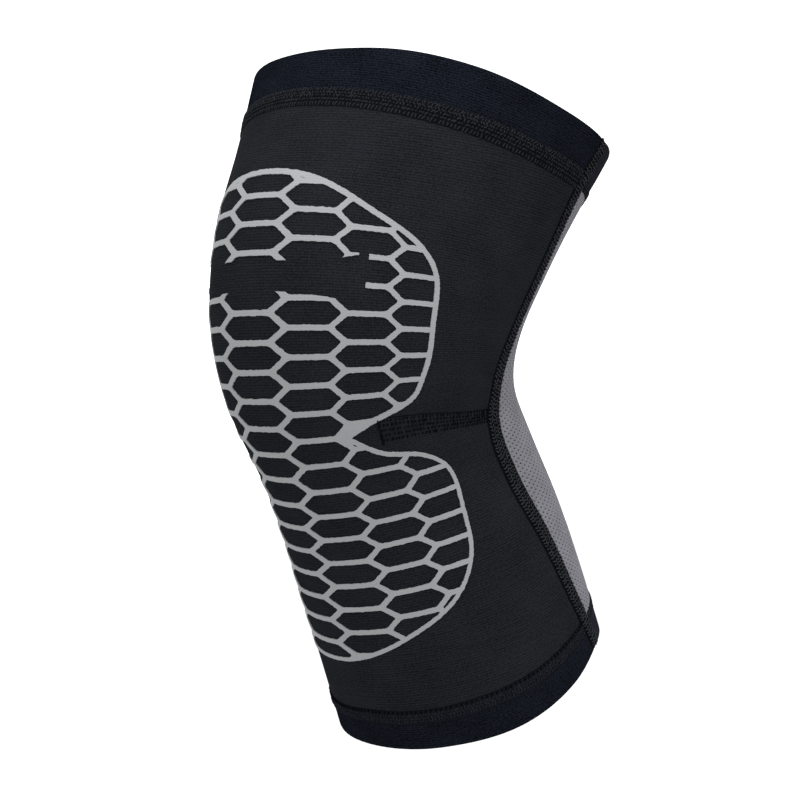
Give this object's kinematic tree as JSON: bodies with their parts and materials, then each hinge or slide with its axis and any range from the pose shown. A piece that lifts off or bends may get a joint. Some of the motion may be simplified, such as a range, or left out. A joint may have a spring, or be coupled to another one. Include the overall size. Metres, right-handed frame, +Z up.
{
  "type": "knee support sleeve",
  "caption": "Pull-on compression sleeve for a knee, kept in its worn half-bent form, with elastic cuffs, a mesh back and a raised honeycomb print over the kneecap.",
  "frame": {"origin": "on the leg line in the middle of the knee bend, inside the sleeve", "axes": "+Z up the leg towards the thigh cuff, -Y out of the front of the knee, +X across the knee"},
  "size_m": [0.1573, 0.176, 0.2757],
  "materials": {
    "charcoal_knit": "fine horizontal rib, matt",
    "grey_mesh": "perforated mesh, matt",
    "navy_elastic": "ribbed elastic, matt",
    "black_thread": "flat overlocked thread, slight sheen",
    "grey_print": "flexible transfer print, matt"
  },
  "bodies": {
    "root": {"front_panel": "charcoal_knit", "back_panel": "grey_mesh", "top_cuff_front": "navy_elastic", "top_cuff_back": "navy_elastic", "bottom_cuff_front": "navy_elastic", "bottom_cuff_back": "navy_elastic", "top_seam_front": "black_thread", "top_seam_back": "black_thread", "bottom_seam_front": "black_thread", "bottom_seam_back": "black_thread", "side_seam_right": "black_thread", "side_seam_left": "black_thread", "dart_seam_right": "black_thread", "dart_seam_left": "black_thread", "honeycomb_print": "grey_print"}
  },
  "joints": []
}
